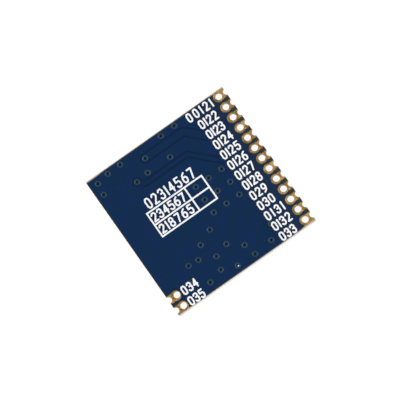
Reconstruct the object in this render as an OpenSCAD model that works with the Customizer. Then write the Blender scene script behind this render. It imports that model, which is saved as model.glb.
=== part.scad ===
// Radio transceiver module with castellated contacts, for soldering onto a host board.
// It lies components down, standing on its transceiver chip, with its bare side up.
// The origin is the middle of the board in plan, on the surface that the module rests on.

/* [Board] */
// Length of the board between its two contact edges
board_x = 16.88; // [16.6:0.01:20]
// Width of the board's faces between its two scored edges
board_y = 16.46; // [16.4:0.01:20]
// Thickness of the laminate
laminate_t = 1.0; // [0.8:0.1:1.6]
// Thickness of the copper on each side
copper_t = 0.035; // [0.02:0.005:0.07]
// Thickness of the solder mask
mask_t = 0.02; // [0.01:0.005:0.03]
// Depth of the groove scored into each face along the board's two plain edges
score_depth = 0.33; // [0.2:0.01:0.38]
// Lean of the scored groove's wall from upright, in degrees
score_angle = 15; // [10:1:20]

/* [Contacts] */
// Number of contacts in the long row
row_count = 13; // [11:2:13]
// Distance between neighbouring contacts
contact_pitch = 1.27; // [1.2:0.01:1.27]
// Diameter of the ring on each contact
ring_d = 1.04; // [0.96:0.02:1.1]
// Distance from the board's edge in to the ring's centre
ring_inset = 0.91; // [0.8:0.01:1]
// Width of the land at the board's edge
edge_land_w = 0.88; // [0.8:0.02:1]
// How far the land reaches in from the board's edge
edge_land_l = 0.55; // [0.5:0.01:0.6]
// Diameter of the plated hole, inside its plating
hole_d = 0.7; // [0.6:0.02:0.74]
// Diameter of the plated half hole in the board's edge, inside its plating
notch_d = 0.7; // [0.6:0.02:0.74]
// How far the half hole's centre lies outside the board's edge
notch_out = 0.04; // [0.02:0.01:0.1]
// Thickness of the plating on the walls of holes
plating_t = 0.025; // [0.02:0.005:0.03]
// How far the drill landed along X from where the artwork is
drill_shift_x = 0.06; // [-0.06:0.01:0.06]
// How far the drill landed along Y from where the artwork is
drill_shift_y = 0.03; // [-0.06:0.01:0.06]

/* [Copper and print] */
// Distance from the board's edges in to the copper pour
pour_pullback = 0.15; // [0.15:0.05:0.2]
// Distance from the long row's edge in to the pour
pour_row_gap = 4.25; // [4:0.05:4.6]
// Gap between the pour and anything else in copper
clearance = 0.2; // [0.15:0.01:0.22]
// Gap between a bare land and the solder mask round it
mask_gap = 0.08; // [0.02:0.01:0.09]
// How far the solder mask stays back from the two scored edges
mask_pullback = 0.1; // [0.1:0.01:0.12]
// Width of the wide track on the bare side
wide_track_w = 0.7; // [0.4:0.05:0.8]
// Width of the narrow track on the bare side
narrow_track_w = 0.35; // [0.2:0.05:0.4]
// Width of the signal tracks on the component side
signal_w = 0.2; // [0.12:0.01:0.22]
// Width of the aerial tracks on the component side
aerial_w = 0.35; // [0.3:0.01:0.4]
// Diameter of the hole in a via, inside its plating
via_d = 0.3; // [0.2:0.02:0.32]
// Diameter of the ring of a via
via_ring_d = 0.6; // [0.5:0.02:0.62]
// Length of the printed table
table_x = 6.74; // [6:0.01:7]
// Width of the printed table
table_y = 2.81; // [2:0.01:3.2]
// Width of the printed lines
print_w = 0.17; // [0.1:0.01:0.25]
// Thickness of the print
print_t = 0.02; // [0.01:0.005:0.03]

/* [Transceiver] */
// Length and width of the transceiver
transceiver_w = 6; // [5.8:0.1:6.1]
// Height of the transceiver
transceiver_h = 0.9; // [0.85:0.05:1]
// Leads on each of its four sides
leads_per_side = 7; // [5:2:7]
// Distance between neighbouring leads
lead_pitch = 0.65; // [0.6:0.01:0.65]
// Width of a lead
lead_w = 0.3; // [0.2:0.01:0.32]
// Length of a lead under the body
lead_l = 0.5; // [0.4:0.05:0.6]
// Thickness of a lead and of the die pad
lead_t = 0.2; // [0.1:0.05:0.25]
// Gap between the leads and the die pad
die_pad_gap = 0.4; // [0.3:0.05:0.6]

/* [Other components] */
// Thickness of the solder under every component
solder_t = 0.05; // [0.03:0.01:0.08]
// How far a land reaches out past its component, for the solder to climb
toe = 0.18; // [0.12:0.01:0.2]
// Length of a chip component
chip_l = 1.0; // [0.9:0.02:1.04]
// Width of a chip component
chip_w = 0.5; // [0.4:0.02:0.54]
// Height of a chip capacitor
capacitor_h = 0.5; // [0.4:0.02:0.6]
// Height of a chip inductor
inductor_h = 0.54; // [0.4:0.02:0.6]
// Height of a chip resistor
resistor_h = 0.34; // [0.3:0.02:0.5]
// Length of a chip's plated end
chip_end_l = 0.24; // [0.18:0.02:0.28]
// Thickness of a chip's plated end
chip_end_t = 0.02; // [0.01:0.005:0.03]
// Length of the crystal
crystal_l = 3.2; // [3:0.05:3.3]
// Width of the crystal
crystal_w = 2.5; // [2.3:0.05:2.6]
// Height of the crystal's ceramic base
crystal_base_h = 0.45; // [0.3:0.05:0.5]
// Height of the crystal's metal lid
crystal_lid_h = 0.25; // [0.15:0.05:0.3]
// Width of the rim of ceramic round the crystal's lid
crystal_rim = 0.12; // [0.08:0.01:0.2]
// Length of the antenna switch's body
switch_l = 2.0; // [1.9:0.05:2.1]
// Width of the antenna switch's body
switch_w = 1.25; // [1.15:0.05:1.3]
// Height of the antenna switch's body
switch_h = 0.75; // [0.6:0.05:0.8]
// Height of the gap under the antenna switch's body
switch_lift = 0.05; // [0.02:0.01:0.08]
// Width of the antenna switch across its leads
switch_span = 2.1; // [1.9:0.05:2.2]

/* [Hidden] */
$fn = 32;
// Overreach of a cut past the face that it opens
cut = 1;

// Heights, from the surface that the module rests on
tallest = max(transceiver_h, crystal_base_h + crystal_lid_h, switch_h + switch_lift, inductor_h);
component_face_z = tallest + solder_t;
laminate_z = component_face_z + copper_t;
bare_z = laminate_z + laminate_t;
copper_top_z = bare_z + copper_t;
score_reach = score_depth * tan(score_angle);

// Contacts 1 to row_count stand in the long row, and the last two at the opposite edge
contact_count = row_count + 2;
antenna = row_count + 1;
// How far the drill wandered further along X at the antenna contact
antenna_wander = 0.07;
// How far the antenna contact and its ground sit off the long row's grid along Y
antenna_offset_y = -0.05;

function in_row(n) = n <= row_count;
function side(n) = in_row(n) ? 1 : -1;
function place_in_row(n) = in_row(n) ? n : n - 2;
function row_offset_y(n) = in_row(n) ? 0 : antenna_offset_y;
function contact_y(n) = ((row_count + 1) / 2 - place_in_row(n)) * contact_pitch + row_offset_y(n);
function ring_x(n) = side(n) * (board_x / 2 - ring_inset);
function wander(n) = n == antenna ? antenna_wander : 0;
function hole_at(n) = [ring_x(n) + drill_shift_x + wander(n), contact_y(n) + drill_shift_y];
function notch_x(n) = side(n) * (board_x / 2 + notch_out) + drill_shift_x;
function notch_at(n) = [notch_x(n), contact_y(n) + drill_shift_y];

// Transceiver, with its middle on the field of thermal vias
transceiver_at = [2.02, -0.12];
thermal_pitch = 1.58;
function lead_offset(k) = (k - (leads_per_side - 1) / 2) * lead_pitch;
lead_tip = transceiver_w / 2 + toe;
die_pad_w = transceiver_w - 2 * (lead_l + die_pad_gap);
dimple_d = 0.5;
dimple_depth = 0.05;
dimple_inset = 1;
function right_lead(k) = transceiver_at + [lead_tip, lead_offset(k)];
function left_lead(k) = transceiver_at + [-lead_tip, lead_offset(k)];
function top_lead(k) = transceiver_at + [lead_offset(k), lead_tip];
function bottom_lead(k) = transceiver_at + [lead_offset(k), -lead_tip];

// Crystal and antenna switch
crystal_at = [-3.75, 2.25];
crystal_land = [1.1, 0.9];
crystal_land_inset = [0.45, 0.35];
crystal_land_at = [crystal_l, crystal_w] / 2 - crystal_land_inset;
crystal_pad_t = 0.03;
crystal_corner = 0.15;
crystal_brim = 0.2;
crystal_brim_h = crystal_lid_h / 3;
switch_at = [-5.3, -1.5];
switch_lead_pitch = 0.65;
switch_lead_w = 0.22;
switch_lead_t = 0.12;
switch_foot_l = 0.3;
switch_draft = 0.06;

// Chip components: name, height, middle and turn
chips = [
    ["capacitor_01", capacitor_h, [-0.35, 4.3], 90],
    ["capacitor_02", capacitor_h, [0.85, 4.3], 90],
    ["capacitor_03", capacitor_h, [2.05, 4.3], 90],
    ["capacitor_04", capacitor_h, [-4.85, 4.25], 0],
    ["capacitor_05", capacitor_h, [-2.85, 4.25], 0],
    ["capacitor_06", capacitor_h, [-2.35, -1.7], 0],
    ["capacitor_07", capacitor_h, [-3.55, -1.7], 90],
    ["capacitor_08", capacitor_h, [-3.55, -3.25], 90],
    ["capacitor_09", capacitor_h, [-5.2, -3.6], 0],
    ["capacitor_10", capacitor_h, [-4.9, -5.45], 0],
    ["capacitor_11", capacitor_h, [-7.5, -0.7], 90],
    ["capacitor_12", capacitor_h, [-7.5, 1.2], 90],
    ["capacitor_13", capacitor_h, [0.35, -4.35], 90],
    ["capacitor_14", capacitor_h, [2.35, -6.35], 0],
    ["capacitor_15", capacitor_h, [1.3, 6.6], 0],
    ["inductor_01", inductor_h, [-2.35, -0.7], 0],
    ["inductor_02", inductor_h, [-2.35, -2.7], 0],
    ["inductor_03", inductor_h, [-3.55, -0.15], 90],
    ["inductor_04", inductor_h, [-6.55, -3.6], 90],
    ["inductor_05", inductor_h, [-6.55, -5.1], 90],
    ["inductor_06", inductor_h, [1.5, -4.35], 90],
    ["inductor_07", inductor_h, [-6.6, 3.6], 90],
    ["resistor_01", resistor_h, [3.9, 7.3], 0],
    ["resistor_02", resistor_h, [-4.9, 6.5], 0],
    ["resistor_03", resistor_h, [-0.9, 6.6], 90]
];
function chip_name(c) = c[0];
function chip_h(c) = c[1];
function chip_at(c) = c[2];
function chip_turn(c) = c[3];
// Share of a chip's height that its solder climbs
chip_climb = 0.6;
// Middle of a chip's end face in plan: end is 1 or -1
function chip_end(name, end) =
    let (c = chips[search([name], chips)[0]], reach = end * chip_l / 2)
    chip_at(c) + reach * [cos(chip_turn(c)), sin(chip_turn(c))];

// Places that keep their distance from an edge of the board
function from_left(inset) = inset - board_x / 2;
function from_top(inset) = board_y / 2 - inset;
function from_bottom(inset) = inset - board_y / 2;

// Vias: those along the edges, those amid the pour, the thermal field, and those of tracks and lands
edge_vias = [
    [from_left(0.94), from_top(0.78)], [from_left(2.34), from_top(0.53)], [-4.55, from_top(0.48)],
    [0.5, from_top(0.48)], [2.2, from_top(0.43)], [from_left(0.79), 6.2],
    [from_left(2.59), from_bottom(0.48)], [from_left(2.74), from_bottom(2.03)],
    [-3.9, from_bottom(0.93)], [-2.3, from_bottom(1.38)], [1.1, from_bottom(2.03)],
    [1.45, from_bottom(0.68)], [3.6, from_bottom(0.88)]
];
open_via = [-0.65, from_bottom(0.73)];
pour_vias = [
    [-2.7, 5.45], [0.05, 5.45], [-0.9, -2.9], [-2.55, -3.65], [-4.75, -4.65], [-3.6, -4.75],
    [-0.35, -5.05], [-1.9, -5.5]
];
thermal_vias = [
    for (i = [-1:1], j = [-1:1]) transceiver_at + thermal_pitch * [i, j]
];
wide_track_via = [-2.1, 6.8];
narrow_track_via = [-4.15, 5.3];
reset_via = [6.3, contact_y(1)];
select_via = [5.6, from_bottom(0.78)];
lone_vias = [[5, 3.05], [4.5, -5.95]];
signal_vias = concat([wide_track_via, narrow_track_via, reset_via, select_via], lone_vias);
all_vias = concat(edge_vias, [open_via], pour_vias, thermal_vias, signal_vias);

// Tracks of the bare side: each runs level, then slants down to the height of its contact
wide_contact = 3;
narrow_contact = 6;
narrow_level = 4.7;
wide_bend_x = 2.6;
narrow_bend_x = 1.6;
function slant_to(x, y, y_end) = [x + abs(y - y_end), y_end];
wide_track = [
    wide_track_via,
    [wide_bend_x, wide_track_via[1]],
    slant_to(wide_bend_x, wide_track_via[1], contact_y(wide_contact)),
    [ring_x(wide_contact), contact_y(wide_contact)]
];
narrow_track = [
    narrow_track_via,
    [narrow_track_via[0] + narrow_track_via[1] - narrow_level, narrow_level],
    [narrow_bend_x, narrow_level],
    slant_to(narrow_bend_x, narrow_level, contact_y(narrow_contact)),
    [ring_x(narrow_contact), contact_y(narrow_contact)]
];

// Tracks of the component side
fan_start = 0.25;
fan_end_x = board_x / 2 - ring_inset - ring_d;
fan_first = (row_count + 1) / 2 - (leads_per_side - 1) / 2;
fan_tracks = [
    for (k = [0:leads_per_side - 1])
        let (n = fan_first + leads_per_side - 1 - k)
        [
            right_lead(k) - [lead_l, 0],
            right_lead(k) + [fan_start, 0],
            [fan_end_x, contact_y(n)],
            [ring_x(n), contact_y(n)]
        ]
];
last_lead = leads_per_side - 1;
// Points of a track that leaves a lead of the upper or lower side and slants out to contact n
function corner_track(start, n, bend_x) = [
    start,
    [start[0], contact_y(n) - sign(contact_y(n)) * (bend_x - start[0])],
    [bend_x, contact_y(n)],
    [ring_x(n), contact_y(n)]
];
upper_bend_x = 6;
lower_bend_x = 5.4;
corner_tracks = [
    corner_track(top_lead(last_lead), 2, upper_bend_x),
    corner_track(top_lead(last_lead - 1), 1, upper_bend_x),
    corner_track(bottom_lead(last_lead), row_count - 2, lower_bend_x),
    corner_track(bottom_lead(last_lead - 1), row_count - 1, lower_bend_x),
    corner_track(bottom_lead(last_lead - 2), row_count, lower_bend_x)
];
// Two tracks bend on their way round the crystal
lead_jog = 0.4;
upper_crystal_bend_x = -1.9;
left_crystal_bend = [-5.6, 3.7];
chip_tracks = [
    [
        left_lead(last_lead),
        left_lead(last_lead) + lead_jog * [-1, 1],
        [upper_crystal_bend_x, chip_end("capacitor_05", 1)[1]],
        chip_end("capacitor_05", 1)
    ],
    [
        left_lead(last_lead - 1),
        crystal_at + [crystal_land_at[0], -crystal_land_at[1]]
    ],
    [
        chip_end("capacitor_04", -1),
        left_crystal_bend,
        crystal_at + [-crystal_land_at[0], crystal_land_at[1]]
    ],
    [top_lead(0), chip_end("capacitor_01", -1)],
    [top_lead(2), chip_end("capacitor_02", -1)],
    [top_lead(3), chip_end("capacitor_03", -1)],
    [bottom_lead(0), chip_end("capacitor_13", 1)],
    [bottom_lead(2), chip_end("inductor_06", 1)]
];
signal_tracks = concat(fan_tracks, corner_tracks, chip_tracks);
// The second aerial track leaves its lead off centre, clear of the first
aerial_lead_shift = [0, -0.1];
aerial_tracks = [
    [left_lead(2), chip_end("inductor_01", 1)],
    [left_lead(1) + aerial_lead_shift, chip_end("capacitor_06", 1)],
    [left_lead(0), chip_end("inductor_02", 1)],
    [chip_end("inductor_01", -1), chip_end("inductor_03", -1), chip_end("capacitor_07", 1)],
    [chip_end("capacitor_06", -1), chip_end("capacitor_07", -1)],
    [chip_end("inductor_02", -1), chip_end("capacitor_08", 1)],
    [chip_end("capacitor_07", -1), switch_at + [switch_span / 2, -switch_lead_pitch]],
    [switch_at + [-switch_span / 2, -switch_lead_pitch], chip_end("inductor_04", 1)],
    [chip_end("inductor_04", -1), chip_end("inductor_05", 1)],
    [chip_end("capacitor_09", -1), chip_end("inductor_04", -1)],
    [chip_end("inductor_05", -1), [ring_x(antenna), contact_y(antenna)]]
];

// Printed table
table_at = [-1.82, 0.68];
table_divider_x = 1.23;

function contact_name(n) = str("contact_", n < 10 ? "0" : "", n);

// A flat shape laid along straight runs between points, with round corners and ends
module track_2d(points, width) {
    for (i = [0:len(points) - 2]) {
        run = points[i + 1] - points[i];
        translate(points[i]) rotate(atan2(run[1], run[0])) translate([0, -width / 2])
            square([norm(run), width]);
    }
    for (p = points) translate(p) circle(d = width);
}

module rectangle_2d(size, radius) {
    square([size[0], size[1] - 2 * radius], center = true);
    square([size[0] - 2 * radius, size[1]], center = true);
    for (x = [-1, 1], y = [-1, 1]) {
        translate([x * (size[0] / 2 - radius), y * (size[1] / 2 - radius)]) circle(r = radius);
    }
}

module board_2d() {
    square([board_x, board_y], center = true);
}

// Field of solder mask, which stays back from the scored edges
module mask_field_2d() {
    square([board_x, board_y - 2 * mask_pullback], center = true);
}

module dots_2d(places, diameter) {
    for (p = places) translate(p) circle(d = diameter);
}

// Flat outline of a contact's land: a ring that opens into a wider land at the board's edge
module land_2d(n, grow = 0) {
    translate([ring_x(n), contact_y(n)]) circle(d = ring_d + 2 * grow);
    reach = edge_land_l + grow;
    translate([side(n) * (board_x / 2 - reach / 2), contact_y(n)])
        square([reach, edge_land_w + 2 * grow], center = true);
}

// Hole and half hole of a contact, grown by the plating where it is still bare
module drills_2d(n, grow = 0) {
    translate(hole_at(n)) circle(d = hole_d + 2 * grow);
    translate(notch_at(n)) circle(d = notch_d + 2 * grow);
}

module all_drills_2d(grow) {
    for (n = [1:contact_count]) drills_2d(n, grow);
}

module all_lands_2d(grow = 0) {
    for (n = [1:contact_count]) land_2d(n, grow);
}

// The copper of the bare side that is no land: the two tracks and the lone rings
module bare_tracks_2d(grow = 0) {
    track_2d(wide_track, wide_track_w + 2 * grow);
    track_2d(narrow_track, narrow_track_w + 2 * grow);
    dots_2d(signal_vias, via_ring_d + 2 * grow);
}

// Field of copper that both pours are cut from: it ends short of the long row
module pour_field_2d(grow = 0) {
    left = -board_x / 2 + pour_pullback - grow;
    right = board_x / 2 - pour_row_gap + grow;
    height = board_y - 2 * pour_pullback + 2 * grow;
    translate([left, -height / 2]) square([right - left, height]);
}

module bare_pour_2d(grow = 0) {
    difference() {
        pour_field_2d(grow);
        bare_tracks_2d(clearance - grow);
        all_lands_2d(clearance - grow);
    }
}

// Lands of every component, in the board's frame
module component_lands_2d(grow = 0) {
    for (c = chips) translate(chip_at(c)) rotate(chip_turn(c)) chip_lands_2d(grow);
    translate(transceiver_at) transceiver_lands_2d(grow);
    translate(crystal_at) crystal_lands_2d(grow);
    translate(switch_at) switch_lands_2d(grow);
}

module component_tracks_2d(grow = 0) {
    for (t = signal_tracks) track_2d(t, signal_w + 2 * grow);
    for (t = aerial_tracks) track_2d(t, aerial_w + 2 * grow);
    dots_2d(signal_vias, via_ring_d + 2 * grow);
}

// Plain fields round the components that the pour stays out of
module component_fields_2d(grow) {
    beyond = 2 * (toe + grow);
    switch_field_w = 2 * switch_lead_pitch + switch_lead_w;
    for (c = chips) translate(chip_at(c)) rotate(chip_turn(c))
        square([chip_l + beyond, chip_w + 2 * grow], center = true);
    translate(transceiver_at) square((transceiver_w + beyond) * [1, 1], center = true);
    translate(crystal_at) square(2 * crystal_land_at + crystal_land + 2 * grow * [1, 1], center = true);
    translate(switch_at) square([switch_span + beyond, switch_field_w + 2 * grow], center = true);
}

module component_pour_2d() {
    difference() {
        pour_field_2d();
        component_tracks_2d(clearance);
        component_fields_2d(clearance);
        all_lands_2d(clearance);
    }
}

// All that is etched on the component side besides its pour and the contacts
module component_etch_2d() {
    component_tracks_2d();
    component_lands_2d();
}

module chip_lands_2d(grow = 0) {
    length = chip_end_l + toe + 2 * grow;
    for (end = [-1, 1]) translate([end * (chip_l / 2 + (toe - chip_end_l) / 2), 0])
        square([length, chip_w + 2 * grow], center = true);
}

module transceiver_lands_2d(grow = 0) {
    length = lead_l + toe + 2 * grow;
    for (turn = [0:90:270], k = [0:last_lead]) rotate(turn)
        translate([transceiver_w / 2 + (toe - lead_l) / 2, lead_offset(k)])
            square([length, lead_w + 2 * grow], center = true);
    square((die_pad_w + 2 * grow) * [1, 1], center = true);
}

module crystal_lands_2d(grow = 0) {
    for (x = [-1, 1], y = [-1, 1]) translate([x * crystal_land_at[0], y * crystal_land_at[1]])
        square(crystal_land + 2 * grow * [1, 1], center = true);
}

module switch_lands_2d(grow = 0) {
    length = switch_foot_l + toe + 2 * grow;
    middle_x = (switch_span + toe - switch_foot_l) / 2;
    for (x = [-1, 1], k = [-1:1]) translate([x * middle_x, k * switch_lead_pitch])
        square([length, switch_lead_w + 2 * grow], center = true);
}

// Puts what is drawn upwards from zero onto the copper of the component side, which faces down
module on_component_side(at = [0, 0], turn = 0) {
    translate([at[0], at[1], component_face_z]) rotate(turn) mirror([0, 0, 1]) children();
}

// A flat shape made solid between two heights
module slab(from_z, to_z) {
    translate([0, 0, from_z]) linear_extrude(to_z - from_z) children();
}

module laminate() {
    half = board_y / 2;
    upper = [
        [half, 0],
        [half + score_reach, score_depth],
        [half + score_reach, laminate_t - score_depth],
        [half, laminate_t]
    ];
    lower = [for (i = [3:-1:0]) [-upper[i][0], upper[i][1]]];
    color("beige") difference() {
        translate([-board_x / 2, 0, laminate_z]) rotate([90, 0, 90]) linear_extrude(board_x)
            polygon(concat(upper, lower));
        slab(laminate_z - cut, bare_z + cut) {
            all_drills_2d(plating_t);
            dots_2d(all_vias, via_d + 2 * plating_t);
        }
    }
}

module bare_side_pour() {
    color("peru") slab(bare_z, copper_top_z) difference() {
        bare_pour_2d();
        dots_2d(all_vias, via_d + 2 * plating_t);
    }
}

module bare_side_tracks() {
    color("peru") slab(bare_z, copper_top_z) difference() {
        bare_tracks_2d();
        all_lands_2d();
        all_drills_2d(plating_t);
        dots_2d(all_vias, via_d + 2 * plating_t);
    }
}

module component_side_pour() {
    color("peru") slab(component_face_z, laminate_z) difference() {
        component_pour_2d();
        dots_2d(all_vias, via_d + 2 * plating_t);
    }
}

module component_side_tracks() {
    color("peru") slab(component_face_z, laminate_z) difference() {
        component_etch_2d();
        all_lands_2d();
        all_drills_2d(plating_t);
        dots_2d(all_vias, via_d + 2 * plating_t);
    }
}

// On the bare side the mask lies low on bare laminate and steps up over pour and tracks
module bare_side_mask() {
    color("midnightblue") difference() {
        union() {
            slab(bare_z, bare_z + mask_t) mask_field_2d();
            slab(bare_z, copper_top_z + mask_t) intersection() {
                mask_field_2d();
                union() {
                    bare_pour_2d(mask_t);
                    bare_tracks_2d(mask_t);
                }
            }
        }
        slab(bare_z - cut, copper_top_z) {
            bare_pour_2d();
            bare_tracks_2d();
        }
        slab(bare_z - cut, copper_top_z + cut) {
            all_lands_2d(mask_gap);
            dots_2d(all_vias, via_d);
        }
        slab(bare_z - cut, copper_top_z) dots_2d(all_vias, via_d + 2 * plating_t);
    }
}

// On the close-set component side the mask fills the gaps in the copper level
module component_side_mask() {
    color("midnightblue") difference() {
        slab(component_face_z - mask_t, laminate_z) mask_field_2d();
        slab(component_face_z, laminate_z + cut) {
            component_pour_2d();
            component_etch_2d();
            dots_2d(all_vias, via_d + 2 * plating_t);
        }
        slab(component_face_z - cut, laminate_z + cut) {
            all_lands_2d(mask_gap);
            component_lands_2d(mask_gap);
            dots_2d([open_via], via_d);
        }
    }
}

module via_barrels() {
    color("peru") slab(component_face_z, copper_top_z) difference() {
        dots_2d(all_vias, via_d + 2 * plating_t);
        dots_2d(all_vias, via_d);
    }
}

// One plated contact: a land on each face, joined through the hole and round the half hole
module contact(n) {
    color("goldenrod") difference() {
        union() {
            slab(component_face_z, copper_top_z) intersection() {
                drills_2d(n, plating_t);
                board_2d();
            }
            slab(component_face_z, laminate_z) land_2d(n);
            slab(bare_z, copper_top_z) land_2d(n);
        }
        slab(component_face_z - cut, copper_top_z + cut) drills_2d(n);
    }
}

module printed_table() {
    row = table_y / 2;
    columns = [[-table_x / 2, table_divider_x], [table_divider_x, table_x / 2]];
    mask_top_z = copper_top_z + mask_t;
    color("white") slab(mask_top_z, mask_top_z + print_t) translate(table_at) difference() {
        square([table_x, table_y] + print_w * [1, 1], center = true);
        for (x = columns, y = [-row, 0]) translate([x[0], y] + print_w / 2 * [1, 1])
            square([x[1] - x[0], row] - print_w * [1, 1]);
    }
}

module lead_blocks() {
    for (turn = [0:90:270], k = [0:last_lead]) rotate(turn)
        translate([transceiver_w / 2 - lead_l, lead_offset(k) - lead_w / 2, 0])
            cube([lead_l, lead_w, lead_t]);
}

module transceiver_body() {
    dimple_x = transceiver_w / 2 - dimple_inset;
    color("dimgray") on_component_side(transceiver_at) translate([0, 0, solder_t]) difference() {
        translate([0, 0, transceiver_h / 2])
            cube([transceiver_w, transceiver_w, transceiver_h], center = true);
        lead_blocks();
        translate([0, 0, lead_t / 2]) cube([die_pad_w, die_pad_w, lead_t], center = true);
        translate([-dimple_x, dimple_x, transceiver_h - dimple_depth]) cylinder(d = dimple_d, h = cut);
    }
}

module transceiver_leads() {
    color("silver") on_component_side(transceiver_at) translate([0, 0, solder_t]) lead_blocks();
}

module transceiver_die_pad() {
    color("silver") on_component_side(transceiver_at) translate([0, 0, solder_t + lead_t / 2])
        cube([die_pad_w, die_pad_w, lead_t], center = true);
}

module crystal_base() {
    color("darkgray") on_component_side(crystal_at) translate([0, 0, solder_t + crystal_pad_t])
        linear_extrude(crystal_base_h - crystal_pad_t) rectangle_2d([crystal_l, crystal_w], crystal_corner);
}

module crystal_pads() {
    color("goldenrod") on_component_side(crystal_at) translate([0, 0, solder_t])
        linear_extrude(crystal_pad_t) intersection() {
            crystal_lands_2d();
            rectangle_2d([crystal_l, crystal_w], crystal_corner);
        }
}

module crystal_lid() {
    size = [crystal_l, crystal_w] - 2 * crystal_rim * [1, 1];
    color("silver") on_component_side(crystal_at) translate([0, 0, solder_t + crystal_base_h]) {
        linear_extrude(crystal_brim_h) rectangle_2d(size, crystal_corner);
        linear_extrude(crystal_lid_h) rectangle_2d(size - 2 * crystal_brim * [1, 1], crystal_corner);
    }
}

// Moulded body with sides that lean in from its middle, drawn as a profile across its leads
module switch_core() {
    half = switch_w / 2;
    top = half - switch_draft;
    translate([0, switch_l / 2, switch_lift]) rotate([90, 0, 0]) linear_extrude(switch_l) polygon([
        [-top, 0], [top, 0], [half, switch_h / 2], [top, switch_h], [-top, switch_h], [-half, switch_h / 2]
    ]);
}

module switch_body() {
    color("dimgray") on_component_side(switch_at) translate([0, 0, solder_t]) switch_core();
}

// Gull-wing leads: a foot on the land, a rise outside the body and a bar into its side
module switch_leads() {
    out = switch_span / 2;
    t = switch_lead_t;
    bar_z = switch_lift + switch_h / 2 + t / 2;
    rise_x = out - switch_foot_l;
    outer = [[out, 0], [out, t], [rise_x + t, t], [rise_x + t, bar_z]];
    inner = [[0, bar_z], [0, bar_z - t], [rise_x, bar_z - t], [rise_x, 0]];
    color("silver") on_component_side(switch_at) translate([0, 0, solder_t]) difference() {
        for (x = [0, 1], k = [-1:1]) mirror([x, 0, 0])
            translate([0, k * switch_lead_pitch + switch_lead_w / 2, 0]) rotate([90, 0, 0])
                linear_extrude(switch_lead_w) polygon(concat(outer, inner));
        switch_core();
    }
}

module chip_core(c) {
    core = [chip_l, chip_w, chip_h(c)] - 2 * chip_end_t * [1, 1, 1];
    translate([0, 0, chip_h(c) / 2]) cube(core, center = true);
}

module chip_body(c) {
    kind = chip_name(c)[0];
    tone = kind == "c" ? "tan" : kind == "i" ? "slategray" : "black";
    color(tone) on_component_side(chip_at(c), chip_turn(c)) translate([0, 0, solder_t]) chip_core(c);
}

module chip_ends() {
    color("silver") for (c = chips) on_component_side(chip_at(c), chip_turn(c)) translate([0, 0, solder_t])
        difference() {
            for (end = [-1, 1]) translate([end * (chip_l - chip_end_l) / 2, 0, chip_h(c) / 2])
                cube([chip_end_l, chip_w, chip_h(c)], center = true);
            chip_core(c);
        }
}

// Solder under one end that stops at x = 0 and climbs it to the given height over the toe of its land
module solder_joint(under, width, climb) {
    steps = 5;
    rise = climb - solder_t;
    arc = [
        for (i = [0:steps])
            let (a = 90 * i / steps)
            [toe * (1 - sin(a)), solder_t + rise * (1 - cos(a))]
    ];
    translate([0, width / 2, 0]) rotate([90, 0, 0]) linear_extrude(width)
        polygon(concat([[-under, 0], [toe, 0]], arc, [[0, solder_t], [-under, solder_t]]));
}

module solder_joints() {
    color("lightgray") {
        for (c = chips, end = [0, 180]) on_component_side(chip_at(c), chip_turn(c) + end)
            translate([chip_l / 2, 0, 0])
                solder_joint(chip_end_l, chip_w, solder_t + chip_climb * chip_h(c));
        on_component_side(transceiver_at) {
            for (turn = [0:90:270], k = [0:last_lead]) rotate(turn)
                translate([transceiver_w / 2, lead_offset(k), 0])
                    solder_joint(lead_l, lead_w, solder_t + lead_t);
            linear_extrude(solder_t) square(die_pad_w, center = true);
        }
        on_component_side(crystal_at) linear_extrude(solder_t) crystal_lands_2d();
        for (end = [0, 180], k = [-1:1]) on_component_side(switch_at, end)
            translate([switch_span / 2, k * switch_lead_pitch, 0])
                solder_joint(switch_foot_l, switch_lead_w, solder_t + switch_lead_t);
    }
}

laminate();
bare_side_pour();
bare_side_tracks();
component_side_pour();
component_side_tracks();
bare_side_mask();
component_side_mask();
via_barrels();
for (n = [1:contact_count]) contact(n);
printed_table();
transceiver_body();
transceiver_leads();
transceiver_die_pad();
crystal_base();
crystal_lid();
crystal_pads();
switch_body();
switch_leads();
solder_joints();
chip_ends();
for (c = chips) chip_body(c);
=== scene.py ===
"""Looks of the castellated radio module: finishes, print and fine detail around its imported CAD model.

Lengths are in millimetres in this script's own values, and MM turns them into Blender's metres.
"""
import math

import bmesh
import bpy
from mathutils import Matrix, Vector


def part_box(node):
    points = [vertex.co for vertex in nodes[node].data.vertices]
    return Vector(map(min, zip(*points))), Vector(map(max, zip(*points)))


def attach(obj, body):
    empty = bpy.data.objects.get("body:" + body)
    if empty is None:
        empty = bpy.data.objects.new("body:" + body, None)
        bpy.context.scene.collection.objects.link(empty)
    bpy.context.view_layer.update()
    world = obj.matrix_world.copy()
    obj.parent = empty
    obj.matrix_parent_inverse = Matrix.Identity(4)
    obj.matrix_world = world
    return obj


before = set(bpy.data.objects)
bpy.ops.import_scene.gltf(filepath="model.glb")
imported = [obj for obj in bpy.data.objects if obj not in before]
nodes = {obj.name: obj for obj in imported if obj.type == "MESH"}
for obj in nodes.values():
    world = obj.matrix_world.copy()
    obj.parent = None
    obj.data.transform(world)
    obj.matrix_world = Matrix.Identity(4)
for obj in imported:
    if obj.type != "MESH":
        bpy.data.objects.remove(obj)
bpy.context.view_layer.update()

MM = 0.001
# Vertices closer than this count as one
WELD = 0.0001
WHITE = (1, 1, 1, 1)


def node_box(name):
    """Lowest and highest corner of a node, in millimetres."""
    low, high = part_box(name)
    return low / MM, high / MM


# Heights of the bare side's mask and print, and the names of the contacts in their order, from the frame
BARE_TOP = node_box("bare_side_mask")[1].z
PRINT_TOP = node_box("printed_table")[1].z
CONTACTS = sorted(n for n in nodes if n.startswith("contact_"))


# Materials

# A Mix node's sockets, whose names repeat: its share, then two values and the result for each kind
MIX_SHARE = 0
NUMBER_A, NUMBER_B, NUMBER_RESULT = 2, 3, 0
COLOUR_A, COLOUR_B, COLOUR_RESULT = 6, 7, 2


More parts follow.
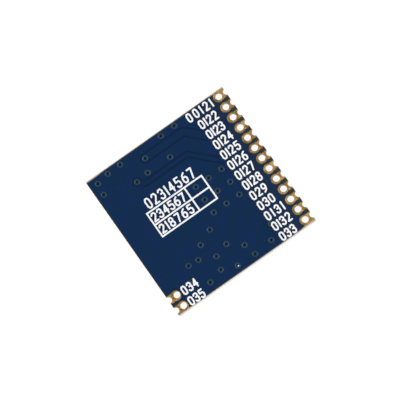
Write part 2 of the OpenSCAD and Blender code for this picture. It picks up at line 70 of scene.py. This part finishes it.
def srgb(r, g, b):
    """Linear colour of an 8-bit display colour."""
    def linear(v):
        v = v / 255
        return v / 12.92 if v <= 0.04045 else ((v + 0.055) / 1.055) ** 2.4
    return (linear(r), linear(g), linear(b), 1.0)


def feed(tree, made, socket, value):
    """Links an output to a node's input socket, or sets that socket to a value."""
    if isinstance(value, bpy.types.NodeSocket):
        tree.links.new(value, made.inputs[socket])
    else:
        made.inputs[socket].default_value = value


def add_node(tree, kind, sockets=None, **settings):
    """A new node with its settings, whose input sockets are fed as sockets says."""
    made = tree.nodes.new(kind)
    for key, value in settings.items():
        setattr(made, key, value)
    for socket, value in (sockets or {}).items():
        feed(tree, made, socket, value)
    return made


def remap(tree, value, span, to=(0.0, 1.0)):
    """Carries a value from one span over to another, and holds it at the ends."""
    sockets = {
        "Value": value,
        "From Min": span[0],
        "From Max": span[1],
        "To Min": to[0],
        "To Max": to[1],
    }
    return add_node(tree, "ShaderNodeMapRange", sockets).outputs["Result"]


class Finish:
    """A material on Blender's standard shader, with short calls for the nodes that shape it."""

    def __init__(self, name, **sockets):
        self.material = bpy.data.materials.new(name)
        self.material.use_nodes = True
        self.tree = self.material.node_tree
        self.shader = self.tree.nodes["Principled BSDF"]
        for socket, value in sockets.items():
            self.feed(socket.replace("_", " "), value)
        metres = self.node("ShaderNodeTexCoord").outputs["Object"]
        self.place = self.vector("SCALE", {0: metres, "Scale": 1 / MM})

    def node(self, kind, sockets=None, **settings):
        return add_node(self.tree, kind, sockets, **settings)

    def feed(self, socket, value):
        """Sets a socket of the shader itself, or links an output to it."""
        feed(self.tree, self.shader, socket, value)

    def vector(self, operation, sockets):
        return self.node("ShaderNodeVectorMath", sockets, operation=operation).outputs["Vector"]

    def math(self, operation, a, b=0.0):
        return self.node("ShaderNodeMath", {0: a, 1: b}, operation=operation).outputs[0]

    def stretched(self, x, y, z):
        """Millimetre coordinates stretched along each axis, for grain that runs one way."""
        return self.vector("MULTIPLY", {0: self.place, 1: (x, y, z)})

    def noise(self, per_mm, detail=3.0, rough=0.55, place=None):
        """Cloudy grain from 0 to 1, with so many cells to the millimetre."""
        sockets = {"Vector": place or self.place, "Scale": per_mm, "Detail": detail, "Roughness": rough}
        return self.node("ShaderNodeTexNoise", sockets).outputs["Fac"]

    def axis(self, name):
        """Millimetres along one axis."""
        return self.node("ShaderNodeSeparateXYZ", {0: self.place}).outputs[name]

    def facing(self, name):
        """Share of the true surface's direction along one axis."""
        normal = self.node("ShaderNodeNewGeometry").outputs["True Normal"]
        return self.node("ShaderNodeSeparateXYZ", {0: normal}).outputs[name]

    def remap(self, value, span, to=(0.0, 1.0)):
        return remap(self.tree, value, span, to)

    def mix(self, share, a, b):
        """Colour a where share is 0, and colour b where it is 1."""
        sockets = {MIX_SHARE: share, COLOUR_A: a, COLOUR_B: b}
        return self.node("ShaderNodeMix", sockets, data_type="RGBA").outputs[COLOUR_RESULT]

    def colour(self, value):
        self.feed("Base Color", value)

    def roughness(self, value):
        self.feed("Roughness", value)

    def bump(self, height, depth):
        """Relief of a height from 0 to 1 that stands for that many millimetres."""
        made = self.node("ShaderNodeBump", {"Height": height, "Distance": depth * MM})
        self.feed("Normal", made.outputs["Normal"])


# Stretches of a noise's values over which one tone or roughness turns into another
SOFT_SPAN = (0.3, 0.7)
CRISP_SPAN = (0.35, 0.65)


def speckled(finish, dark, light, per_mm):
    """Colour that wanders between two tones."""
    finish.colour(finish.mix(finish.remap(finish.noise(per_mm), CRISP_SPAN), dark, light))


MASK_ON_COPPER = (srgb(11, 41, 69), srgb(15, 40, 80))
# Mask over laminate in the channels, darker than the band's mask over the same laminate: painted shade
# of the mask's slopes down into the channels
MASK_AND_SHADE_IN_CHANNELS = srgb(11, 35, 66)
MASK_ON_LAMINATE = (srgb(20, 41, 67), srgb(25, 44, 74))
MASK_AT_TEETH = srgb(46, 52, 57)
MASK_ROUGHNESS = (0.3, 0.42)
# How far under its highest skin the mask has its tone on laminate, and its tone on copper
TONE_DROPS = (0.025, 0.005)
MASK_Z = tuple(BARE_TOP - drop for drop in TONE_DROPS)
# Where the open band of laminate starts along X, and where the teeth between half holes do, either way
BAND_X = (4.1, 4.3)
TEETH_X = (7.6, 8.1)
# What the broad ripple has of the mask's relief. The fine grain has the rest
RIPPLE_SHARE = 0.7


def mask_finish(name, on_copper):
    """Dark blue solder mask. Where on_copper is None, its tone follows the height of its surface."""
    finish = Finish(name, Roughness=0.36, Specular_IOR_Level=0.055)
    mottle = finish.remap(finish.noise(per_mm=0.9, detail=4.0), SOFT_SPAN)
    if on_copper is None:
        on_copper = finish.remap(finish.axis("Z"), MASK_Z)
    over_copper = finish.mix(mottle, *MASK_ON_COPPER)
    x = finish.axis("X")
    band = finish.mix(mottle, *MASK_ON_LAMINATE)
    # The channels' darker tone is painted shade of the mask's slopes, and the open band has the mask's
    # own tone over laminate
    over_laminate = finish.mix(finish.remap(x, BAND_X), MASK_AND_SHADE_IN_CHANNELS, band)
    teeth = finish.remap(finish.math("ABSOLUTE", x), TEETH_X)
    over_laminate = finish.mix(teeth, over_laminate, MASK_AT_TEETH)
    finish.colour(finish.mix(on_copper, over_laminate, over_copper))
    finish.roughness(finish.remap(finish.noise(per_mm=2.5), SOFT_SPAN, to=MASK_ROUGHNESS))
    ripple = finish.math("MULTIPLY", finish.noise(per_mm=5.0, detail=2.0), RIPPLE_SHARE)
    grain = finish.math("MULTIPLY", finish.noise(per_mm=22.0, detail=2.0), 1 - RIPPLE_SHARE)
    finish.bump(finish.math("ADD", ripple, grain), depth=0.006)
    return finish.material


def rim_finish(name, dark, light, rough, shine):
    """Mask on the rims of the vias, and the film of it in them."""
    finish = Finish(name, Roughness=rough, Specular_IOR_Level=shine)
    speckled(finish, dark, light, per_mm=4.0)
    finish.bump(finish.noise(per_mm=18.0), depth=0.004)
    return finish.material


# A metal's tones are broader than its grain and its relief finer, and its roughness strays both ways
METAL_TONE_SCALE = 0.25
METAL_RELIEF_SCALE = 1.6
SMOOTHER = 0.08
ROUGHER = 0.1


def metal_finish(name, dark, light, rough, grain, depth=0.004):
    """Plated metal, foil or solder."""
    finish = Finish(name, Metallic=1.0, Roughness=rough)
    speckled(finish, dark, light, per_mm=grain * METAL_TONE_SCALE)
    strayed = (rough - SMOOTHER, rough + ROUGHER)
    finish.roughness(finish.remap(finish.noise(per_mm=grain), SOFT_SPAN, to=strayed))
    finish.bump(finish.noise(per_mm=grain * METAL_RELIEF_SCALE, detail=4.0), depth)
    return finish.material


def ceramic_finish(name, dark, light, rough=0.5):
    """Fired ceramic, or the coat on it."""
    finish = Finish(name, Roughness=rough, Specular_IOR_Level=0.4)
    speckled(finish, dark, light, per_mm=14.0)
    finish.bump(finish.noise(per_mm=21.0, detail=4.0), depth=0.006)
    return finish.material


COMPOUND_TONES = (srgb(30, 30, 32), srgb(62, 62, 64))
COMPOUND_ROUGHNESS = (0.48, 0.64)
FILLER_SPAN = (0.45, 0.75)


def moulding_finish(name):
    """Black moulding compound: fine filler grains in a matt skin."""
    finish = Finish(name, Roughness=0.55, Specular_IOR_Level=0.4)
    grains = finish.noise(per_mm=38.0, detail=2.0, rough=0.7)
    finish.colour(finish.mix(finish.remap(grains, FILLER_SPAN), *COMPOUND_TONES))
    finish.roughness(finish.remap(finish.noise(per_mm=6.0), SOFT_SPAN, to=COMPOUND_ROUGHNESS))
    finish.bump(grains, depth=0.008)
    return finish.material


PLY_TONES = (srgb(214, 208, 198), srgb(238, 234, 228))
FIBRE_END_TONE = srgb(190, 182, 158)
WEAVE_TONES = (srgb(44, 56, 52), srgb(62, 70, 60))
STRIP_TONE = srgb(78, 78, 76)
CORNER_TONE = srgb(176, 150, 112)
# Cells of the plies and of the fibre ends to the millimetre, along X, Y and Z
PLY_CELLS = (0.6, 0.6, 14.0)
FIBRE_CELLS = (22.0, 22.0, 34.0)
FIBRE_SPAN = (0.5, 0.8)
MOST_FIBRE = 0.6
# Where the bare strip along each scored edge starts, either way along Y, and its tan ends along X
STRIP_INSETS = (0.12, 0.06)
MASK_EDGE_Y = node_box("bare_side_mask")[1].y
SCORED_Y = tuple(MASK_EDGE_Y - inset for inset in STRIP_INSETS)
CORNER_X = (6.6, 7.0)
# How squarely a surface faces up or down where it turns from sawn edge to bare face
FACE_SPAN = (0.9, 0.99)


def laminate_finish(name):
    """Sawn glass-epoxy: pale, in plies, with fibre ends. Bare faces are dark, and tan at the corners."""
    finish = Finish(name, Roughness=0.75, Specular_IOR_Level=0.1)
    plies = finish.noise(per_mm=1.0, detail=2.0, rough=0.5, place=finish.stretched(*PLY_CELLS))
    fibres = finish.noise(per_mm=1.0, detail=4.0, rough=0.7, place=finish.stretched(*FIBRE_CELLS))
    tone = finish.mix(finish.remap(plies, CRISP_SPAN), *PLY_TONES)
    fibre_share = finish.remap(fibres, FIBRE_SPAN, to=(0.0, MOST_FIBRE))
    edge = finish.mix(fibre_share, tone, FIBRE_END_TONE)
    weave = finish.mix(finish.remap(finish.noise(per_mm=3.0), SOFT_SPAN), *WEAVE_TONES)
    scored = finish.remap(finish.math("ABSOLUTE", finish.axis("Y")), SCORED_Y)
    corner = finish.remap(finish.math("ABSOLUTE", finish.axis("X")), CORNER_X)
    face = finish.mix(scored, weave, finish.mix(corner, STRIP_TONE, CORNER_TONE))
    level = finish.remap(finish.math("ABSOLUTE", finish.facing("Z")), FACE_SPAN)
    finish.colour(finish.mix(level, edge, face))
    finish.bump(finish.math("ADD", plies, fibres), depth=0.02)
    return finish.material


THIN_PRINT = srgb(214, 220, 230)
FULL_PRINT = srgb(246, 246, 246)
PRINT_SPAN = (0.25, 0.5)


def print_finish(name):
    """White screen print, thin in places."""
    finish = Finish(name, Roughness=0.6, Specular_IOR_Level=0.3)
    full = finish.remap(finish.noise(per_mm=9.0, detail=4.0), PRINT_SPAN)
    finish.colour(finish.mix(full, THIN_PRINT, FULL_PRINT))
    finish.bump(finish.noise(per_mm=20.0), depth=0.005)
    return finish.material


mask_bare = mask_finish("mask_bare_side", on_copper=None)
mask_component = mask_finish("mask_component_side", on_copper=0.0)
mask_raised = mask_finish("mask_over_copper", on_copper=1.0)
rim_mask = rim_finish("mask_on_rims", srgb(12, 44, 64), srgb(23, 58, 74), rough=0.26, shine=0.34)
film_mask = rim_finish("mask_in_vias", srgb(9, 24, 33), srgb(13, 31, 41), rough=0.5, shine=0.045)
gold = metal_finish(
    "gold_plate", srgb(112, 80, 38), srgb(176, 144, 94), rough=0.26, grain=9.0, depth=0.016)
copper = metal_finish("copper_foil", srgb(150, 84, 52), srgb(176, 104, 66), rough=0.45, grain=8.0)
tin = metal_finish("tin_plate", srgb(176, 176, 172), srgb(208, 208, 204), rough=0.34, grain=10.0)
solder = metal_finish(
    "solder", srgb(168, 170, 172), srgb(214, 216, 218), rough=0.24, grain=6.0, depth=0.006)
lid_metal = metal_finish("lid_plate", srgb(188, 182, 166), srgb(214, 209, 196), rough=0.32, grain=5.0)
# The vias' plated walls are painted near black instead of copper: painted shade inside the narrow bores
via_wall_painted_shade = metal_finish("via_wall_painted_shade", srgb(44, 46, 40), srgb(74, 66, 48), rough=0.5, grain=10.0)
laminate_edge = laminate_finish("laminate_edge")
screen_print = print_finish("screen_print")
moulding = moulding_finish("moulding")
crystal_ceramic = ceramic_finish("crystal_ceramic", srgb(58, 54, 52), srgb(76, 72, 68))

# Nodes that come in numbers, such as contact_01, by their kind
KIND_FINISHES = {
    "contact": gold,
    "capacitor": ceramic_finish("capacitor_ceramic", srgb(148, 112, 80), srgb(176, 138, 102)),
    "inductor": ceramic_finish("inductor_ceramic", srgb(58, 66, 76), srgb(80, 90, 102)),
    "resistor": ceramic_finish("resistor_coat", srgb(18, 18, 20), srgb(34, 34, 38), rough=0.35),
}

# All other nodes
NODE_FINISHES = {
    "laminate": laminate_edge,
    "bare_side_pour": copper,
    "bare_side_tracks": gold,
    "component_side_pour": copper,
    "component_side_tracks": gold,
    "bare_side_mask": mask_bare,
    "component_side_mask": mask_component,
    "via_barrels": via_wall_painted_shade,
    "printed_table": screen_print,
    "transceiver_body": moulding,
    "transceiver_leads": tin,
    "transceiver_die_pad": tin,
    "crystal_base": crystal_ceramic,
    "crystal_lid": lid_metal,
    "crystal_pads": gold,
    "switch_body": moulding,
    "switch_leads": tin,
    "solder_joints": solder,
    "chip_ends": tin,
}

for name, shape in nodes.items():
    kind = name.split("_")[0]
    shape.data.materials.clear()
    shape.data.materials.append(KIND_FINISHES.get(kind) or NODE_FINISHES[name])


# Rounded edges of the moulded, fired and plated pieces

BEVEL_SEGMENTS = 2
# An edge is rounded where the surface turns by more than this, in degrees
SHARP_TURN = 40


def round_edges(shape, radius):
    """Rounds a node's sharp edges by modifiers, so its own vertices stay as they are."""
    weld = shape.modifiers.new("weld", "WELD")
    weld.merge_threshold = WELD * MM
    bevel = shape.modifiers.new("bevel", "BEVEL")
    bevel.width = radius * MM
    bevel.segments = BEVEL_SEGMENTS
    bevel.limit_method = "ANGLE"
    bevel.angle_limit = math.radians(SHARP_TURN)


EDGE_RADII = {
    **dict.fromkeys(CONTACTS, 0.02),
    "transceiver_body": 0.03,
    "crystal_base": 0.04,
    "crystal_lid": 0.04,
    "switch_body": 0.04,
    "switch_leads": 0.015,
    "chip_ends": 0.012,
}
for name, radius in EDGE_RADII.items():
    round_edges(nodes[name], radius)


# Print: plain numbers in the board's stroke letters

# Strokes run through points on a grid this wide and high. The 1 takes less of its width
GLYPH_W = 4
GLYPH_H = 6
THIN_W = 0.4
LOWER_BOWL = [(4, 2.7), (4, 1), (3, 0), (1, 0), (0, 1)]
GLYPHS = {
    "0": [[(1, 0), (3, 0), (4, 1.2), (4, 4.8), (3, 6), (1, 6), (0, 4.8), (0, 1.2), (1, 0)]],
    "1": [[(0, 5.2), (THIN_W, 6), (THIN_W, 0)]],
    "2": [[(0, 4.9), (1, 6), (3, 6), (4, 5), (4, 4), (0, 0), (4, 0)]],
    "3": [
        [(0, 5), (1, 6), (3, 6), (3.9, 5), (3.9, 4.2), (3, 3.2), (1.6, 3.2)],
        [(3, 3.2)] + LOWER_BOWL,
    ],
    "4": [[(3, 0), (3, 6), (0, 2), (4, 2)]],
    "5": [[(3.8, 6), (0.3, 6), (0.1, 3.5), (2.9, 3.7)] + LOWER_BOWL],
    "6": [[
        (3.4, 6), (1.2, 5), (0, 3), (0, 1.1), (1, 0), (3, 0),
        (4, 1.1), (4, 2.5), (3, 3.5), (1, 3.5), (0.1, 2.6),
    ]],
    "7": [[(0, 6), (4, 6), (1.5, 0)]],
    "8": [
        [(1, 3.2), (0, 2.3), (0, 1), (1, 0), (3, 0), (4, 1), (4, 2.3), (3, 3.2), (1, 3.2)],
        [(1, 3.2), (0.2, 4.1), (0.2, 5.1), (1.1, 6), (2.9, 6), (3.8, 5.1), (3.8, 4.1), (3, 3.2)],
    ],
    "9": [[
        (0.6, 0), (2.8, 1), (4, 3), (4, 4.9), (3, 6), (1, 6),
        (0, 4.9), (0, 3.5), (1, 2.5), (3, 2.5), (3.9, 3.4),
    ]],
}
# Corners round each end of a run of the pen
CAP_STEPS = 7
# Runs that follow each other overlap, so their tops differ by a hair
LAYERS = 5
LAYER_STEP = 0.0006


def add_slab(mesh, outline, low, high):
    """A flat closed outline made solid between two heights."""
    bottom = [mesh.verts.new((p.x * MM, p.y * MM, low * MM)) for p in outline]
    top = [mesh.verts.new((p.x * MM, p.y * MM, high * MM)) for p in outline]
    mesh.faces.new(top)
    mesh.faces.new(list(reversed(bottom)))
    for i in range(len(outline)):
        j = (i + 1) % len(outline)
        mesh.faces.new((bottom[i], bottom[j], top[j], top[i]))


def add_pen_run(mesh, start, end, width, low, high):
    """One straight run of a round pen."""
    along = (end - start).normalized() * width / 2
    outline = []
    for centre, arm in ((start, -along), (end, along)):
        for k in range(CAP_STEPS):
            turn = math.pi * (k / (CAP_STEPS - 1) - 0.5)
            outline.append(centre + Matrix.Rotation(turn, 2) @ arm)
    add_slab(mesh, outline, low, high)


def add_number(mesh, text, left, right, middle, height, pen, digit_w):
    """A number whose print reaches from left to right, and is centred on middle."""
    widths = [(THIN_W / GLYPH_W if c == "1" else 1) * digit_w for c in text]
    gap = (right - left - pen - sum(widths)) / (len(text) - 1)
    x = left + pen / 2
    layer = 0
    for c, width in zip(text, widths):
        for stroke in GLYPHS[c]:
            points = [
                Vector((x + px * digit_w / GLYPH_W, middle + (py / GLYPH_H - 0.5) * (height - pen)))
                for px, py in stroke
            ]
            for start, end in zip(points, points[1:]):
                layer = (layer + 1) % LAYERS
                add_pen_run(mesh, start, end, pen, BARE_TOP, PRINT_TOP - layer * LAYER_STEP)
        x += width + gap


def add_object(name, data):
    """An object of the scene from its data."""
    made = bpy.data.objects.new(name, data)
    bpy.context.scene.collection.objects.link(made)
    return made


def new_piece(name, mesh, finish):
    """A piece of the module from its finished mesh."""
    data = bpy.data.meshes.new(name)
    bmesh.ops.recalc_face_normals(mesh, faces=mesh.faces)
    mesh.to_mesh(data)
    mesh.free()
    data.materials.append(finish)
    piece = add_object(name, data)
    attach(piece, "root")
    return piece


PEN_W = 0.17
PIN_H = 1.0
PIN_DIGIT_W = 0.39
# How much nearer to -Y a number's middle lies than its contact's
PIN_DROP = 0.04
# Each contact's plain number, and how far its print reaches along X
PIN_NUMBERS = (
    ("00121", 3.64, 6.71), ("0122", 4.26, 6.46), ("0123", 4.34, 6.4), ("0124", 4.34, 6.53),
    ("0125", 4.34, 6.55), ("0126", 4.34, 6.55), ("0127", 4.34, 6.55), ("0128", 4.38, 6.55),
    ("029", 4.39, 6.32), ("030", 4.43, 6.34), ("0131", 4.42, 6.63), ("0132", 4.42, 6.63),
    ("033", 4.46, 6.34), ("034", -6.8, -4.93), ("035", -6.84, -4.98),
)


def pin_numbers():
    """A plain number beside each contact."""
    mesh = bmesh.new()
    for name, (text, left, right) in zip(CONTACTS, PIN_NUMBERS):
        low, high = node_box(name)
        middle = (low.y + high.y) / 2 - PIN_DROP
        add_number(mesh, text, left, right, middle, PIN_H, PEN_W, PIN_DIGIT_W)
    new_piece("pin_numbers", mesh, screen_print)


# Number over the table and those in its two long cells: text, left, right, middle, height, digit's width
TABLE_NUMBERS = (
    ("02314567", -4.74, 1.13, 2.88, 1.18, 0.44),
    ("234567", -5.02, -1.0, 1.37, 1.03, 0.42),
    ("218765", -5.02, -1.0, -0.05, 1.03, 0.42),
)


def table_numbers():
    """Plain numbers over the table and in its two long cells."""
    mesh = bmesh.new()
    for text, left, right, middle, height, digit_w in TABLE_NUMBERS:
        add_number(mesh, text, left, right, middle, height, PEN_W, digit_w)
    new_piece("table_numbers", mesh, screen_print)


pin_numbers()
table_numbers()


# Rims of the vias: the mask sags into each hole and leaves a paler ring

def via_centres():
    """Middle of each via, from the loose tubes of the via walls."""
    mesh = bmesh.new()
    mesh.from_mesh(nodes["via_barrels"].data)
    bmesh.ops.remove_doubles(mesh, verts=mesh.verts, dist=WELD * MM)
    centres, seen = [], set()
    for start in mesh.verts:
        if start in seen:
            continue
        group, stack = [], [start]
        seen.add(start)
        while stack:
            vert = stack.pop()
            group.append(vert.co)
            for edge in vert.link_edges:
                other = edge.other_vert(vert)
                if other not in seen:
                    seen.add(other)
                    stack.append(other)
        xs, ys = [co.x for co in group], [co.y for co in group]
        centres.append(Vector(((min(xs) + max(xs)) / 2 / MM, (min(ys) + max(ys)) / 2 / MM)))
    mesh.free()
    return sorted(centres, key=lambda p: (p.x, p.y))


# Profiles run inwards: distance from the via's middle, and height over the mask
RIM_PROFILE = [
    (0.305, -0.001), (0.27, 0.009), (0.235, 0.014), (0.2, 0.011), (0.172, 0.0), (0.155, -0.02),
]
FILM_PROFILE = [RIM_PROFILE[-1], (0.125, -0.05), (0.07, -0.075), (0.002, -0.085)]
RIM_STEPS = 28
# Where the via with the broken film is, how near to that it lies, and the hole's shift from its middle
OPEN_VIA = Vector((-0.65, -7.5))
OPEN_VIA_REACH = 0.1
OPEN_HOLE_OFF = Vector((0.03, -0.05))


def add_lathed(mesh, centre, profile, last_centre):
    """Faces turned round a centre in plan. The last ring has a centre of its own."""
    middles = [centre] * (len(profile) - 1) + [last_centre]
    rings = []
    for middle, (radius, rise) in zip(middles, profile):
        ring = []
        for k in range(RIM_STEPS):
            turn = 2 * math.pi * k / RIM_STEPS
            x = middle.x + radius * math.cos(turn)
            y = middle.y + radius * math.sin(turn)
            ring.append(mesh.verts.new((x * MM, y * MM, (BARE_TOP + rise) * MM)))
        rings.append(ring)
    for outer, inner in zip(rings, rings[1:]):
        for k in range(RIM_STEPS):
            j = (k + 1) % RIM_STEPS
            mesh.faces.new((outer[k], outer[j], inner[j], inner[k]))


def smooth(piece):
    for face in piece.data.polygons:
        face.use_smooth = True


def via_rims():
    """Each via's raised rim, and the film of mask that has sunk into it. One film has broken open."""
    rims, films = bmesh.new(), bmesh.new()
    for centre in via_centres():
        add_lathed(rims, centre, RIM_PROFILE, centre)
        if (centre - OPEN_VIA).length < OPEN_VIA_REACH:
            add_lathed(films, centre, FILM_PROFILE[:-1], centre + OPEN_HOLE_OFF)
        else:
            add_lathed(films, centre, FILM_PROFILE, centre)
    smooth(new_piece("via_rims", rims, rim_mask))
    smooth(new_piece("via_films", films, film_mask))


via_rims()


# Mask raised over the copper of the component side

RELIEF_RISE = 0.006
# A face of the mask lies on the copper where it is this level, and this near to the copper's height
LEVEL_SHARE = 0.9
COPPER_REACH = 0.004
# Decimals of a millimetre to which corners agree that are one
CORNER_DECIMALS = 5


def component_relief():
    """The mask's inner faces lie on the copper, so they give its outline for the raised skin."""
    source = bmesh.new()
    source.from_mesh(nodes["component_side_mask"].data)
    skin_z = node_box("component_side_mask")[0].z - RELIEF_RISE
    copper_z = node_box("component_side_pour")[0].z
    mesh = bmesh.new()
    made = {}

    def corner(co):
        """The skin's vertex under a corner of the mask, made once."""
        key = (round(co.x / MM, CORNER_DECIMALS), round(co.y / MM, CORNER_DECIMALS))
        if key not in made:
            made[key] = mesh.verts.new((co.x, co.y, skin_z * MM))
        return made[key]

    for face in source.faces:
        off_copper = abs(face.calc_center_median().z / MM - copper_z)
        if abs(face.normal.z) > LEVEL_SHARE and off_copper < COPPER_REACH:
            corners = [corner(v.co) for v in face.verts]
            if len(set(corners)) == len(corners):
                mesh.faces.new(corners)
    source.free()
    new_piece("component_relief", mesh, mask_raised)


component_relief()


# Floor, light and camera

FLOOR_HALF = 1500
FLOOR_TONE = (0.85, 0.85, 0.85, 1)
# The camera sees this share of the floor's own shade, shadows included, and an even glow for the rest
SHADOW_KEPT = 0.15
FLOOR_GLOW = 1.08


def ray_is_seen(tree):
    """1 for rays of the camera, and for what metal and glass show of the backdrop."""
    path = add_node(tree, "ShaderNodeLightPath")
    seen = path.outputs["Is Camera Ray"]
    for other in ("Is Glossy Ray", "Is Transmission Ray"):
        either = add_node(tree, "ShaderNodeMath", {0: seen, 1: path.outputs[other]}, operation="MAXIMUM")
        seen = either.outputs[0]
    return seen


def white_floor():
    """Plain paper that the camera sees as white, with a hint of shadow."""
    mesh = bpy.data.meshes.new("floor")
    h = FLOOR_HALF * MM
    mesh.from_pydata([(-h, -h, 0), (h, -h, 0), (h, h, 0), (-h, h, 0)], [], [(0, 1, 2, 3)])
    floor = add_object("floor", mesh)
    paper = bpy.data.materials.new("floor_paper")
    paper.use_nodes = True
    tree = paper.node_tree
    tree.nodes.clear()
    diffuse = add_node(tree, "ShaderNodeBsdfDiffuse", {"Color": FLOOR_TONE})
    glow = add_node(tree, "ShaderNodeEmission", {"Color": WHITE, "Strength": FLOOR_GLOW})
    share = add_node(
        tree, "ShaderNodeMath", {0: ray_is_seen(tree), 1: 1 - SHADOW_KEPT}, operation="MULTIPLY")
    # Socket 0 is the glow's share, and 1 and 2 are what it mixes
    both = {0: share.outputs[0], 1: diffuse.outputs[0], 2: glow.outputs[0]}
    mix = add_node(tree, "ShaderNodeMixShader", both)
    add_node(tree, "ShaderNodeOutputMaterial", {"Surface": mix.outputs[0]})
    mesh.materials.append(paper)


# The sky's light low down and overhead. It changes between two heights, 0 being level and 1 overhead
SKY_LEVELS = (1.0, 0.2)
SKY_HEIGHTS = (0.25, 0.95)
SKY_SEEN = 1.0


def sky():
    """Pale all round and dimmer overhead. The camera, metal and glass see plain white."""
    world = bpy.data.worlds.new("studio")
    bpy.context.scene.world = world
    world.use_nodes = True
    tree = world.node_tree
    direction = add_node(tree, "ShaderNodeTexCoord").outputs["Generated"]
    upward = add_node(tree, "ShaderNodeSeparateXYZ", {0: direction}).outputs["Z"]
    level = remap(tree, upward, SKY_HEIGHTS, to=SKY_LEVELS)
    sockets = {MIX_SHARE: ray_is_seen(tree), NUMBER_A: level, NUMBER_B: SKY_SEEN}
    mix = add_node(tree, "ShaderNodeMix", sockets, data_type="FLOAT")
    background = tree.nodes["Background"]
    feed(tree, background, "Strength", mix.outputs[NUMBER_RESULT])
    feed(tree, background, "Color", WHITE)


LAMP_DISTANCE = 500
LAMP_SIZE = 300
# Degrees over the floor
LAMP_ELEVATION = 48


def area_light(name, azimuth, power):
    """A round soft lamp that looks at the module."""
    light = bpy.data.lights.new(name, "AREA")
    light.shape = "DISK"
    light.size = LAMP_SIZE * MM
    light.energy = power
    lamp = add_object(name, light)
    a, e = math.radians(azimuth), math.radians(LAMP_ELEVATION)
    away = Vector((math.cos(a) * math.cos(e), math.sin(a) * math.cos(e), math.sin(e)))
    lamp.location = away * (LAMP_DISTANCE * MM)
    lamp.rotation_euler = away.to_track_quat("Z", "Y").to_euler()


# Where the photograph, 400 pixels square, shows the board, and how it is turned there, in degrees
PHOTO_PX = 400
PX_PER_MM = 9.884
BOARD_MIDDLE_PX = (200.6, 201.2)
BOARD_TURN = 35.1
CAMERA_TILT = 4.2
CAMERA_DISTANCE = 450
SENSOR_W = 36
CLIP_START = 10
CLIP_END = 20000


def camera():
    """A long lens over the bare side, leaned and turned as the photograph shows the board."""
    tilt, turn = math.radians(CAMERA_TILT), math.radians(BOARD_TURN)
    away = Vector((0, -math.sin(tilt), math.cos(tilt)))
    across = Vector((1, 0, 0))
    up_board = away.cross(across)
    right = across * math.cos(turn) - up_board * math.sin(turn)
    up = across * math.sin(turn) + up_board * math.cos(turn)
    off_x = (BOARD_MIDDLE_PX[0] - PHOTO_PX / 2) / PX_PER_MM
    off_y = (BOARD_MIDDLE_PX[1] - PHOTO_PX / 2) / PX_PER_MM
    aim = Vector((0, 0, BARE_TOP)) - right * off_x + up * off_y
    data = bpy.data.cameras.new("camera")
    data.sensor_width = SENSOR_W
    data.sensor_fit = "HORIZONTAL"
    data.lens = SENSOR_W * CAMERA_DISTANCE / (PHOTO_PX / PX_PER_MM)
    data.clip_start = CLIP_START * MM
    data.clip_end = CLIP_END * MM
    eye = add_object("camera", data)
    turned = Matrix((right, up, away)).transposed().to_4x4()
    eye.matrix_world = Matrix.Translation((aim + away * CAMERA_DISTANCE) * MM) @ turned
    bpy.context.scene.camera = eye


white_floor()
sky()
area_light("left_box", azimuth=145, power=1.0)
area_light("right_box", azimuth=-35, power=0.9)
camera()

settings = bpy.context.scene.view_settings
settings.view_transform = "Standard"
